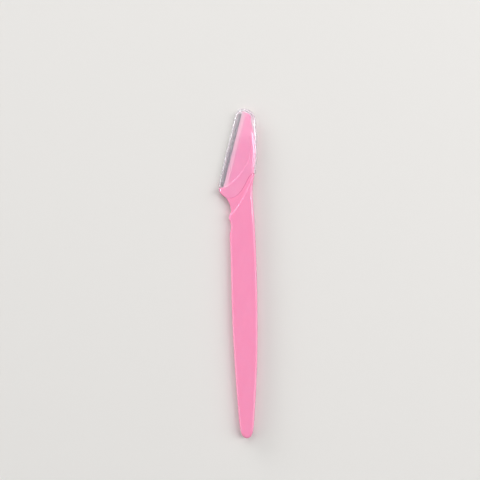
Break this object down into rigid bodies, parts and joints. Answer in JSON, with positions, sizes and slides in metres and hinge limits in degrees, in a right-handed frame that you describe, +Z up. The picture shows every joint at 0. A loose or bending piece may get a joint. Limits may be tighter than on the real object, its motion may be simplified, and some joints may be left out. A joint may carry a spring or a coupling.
{
  "type": "eyebrow razor",
  "caption": "Slim straight-handled eyebrow razor: a fixed blade along a slanted head, a fine comb guard folded over its edge and a see-through pull-off cap.",
  "frame": {"origin": "middle of the underside of the whole razor with its cap on, in the plane that it rests on", "axes": "+Y along the handle towards the capped head, -X towards the cutting edge, +Z up out of the flat face"},
  "size_m": [0.0179, 0.15, 0.0046],
  "materials": {
    "handle_plastic": "moulded pink plastic with a soft sheen",
    "blade_steel": "ground stainless strip",
    "guard_steel": "thin folded sheet with fine comb slots",
    "cap_plastic": "clear, slightly milky polished plastic"
  },
  "bodies": {
    "razor": {"handle": "handle_plastic", "blade": "blade_steel", "guard": "guard_steel"},
    "cap": {"cap": "cap_plastic"}
  },
  "joints": [
    {"name": "cap_slide", "type": "slide", "parent": "razor", "child": "cap", "axis": [0.1633, 0.9866, 0], "range_m": [0, 0.045]}
  ]
}
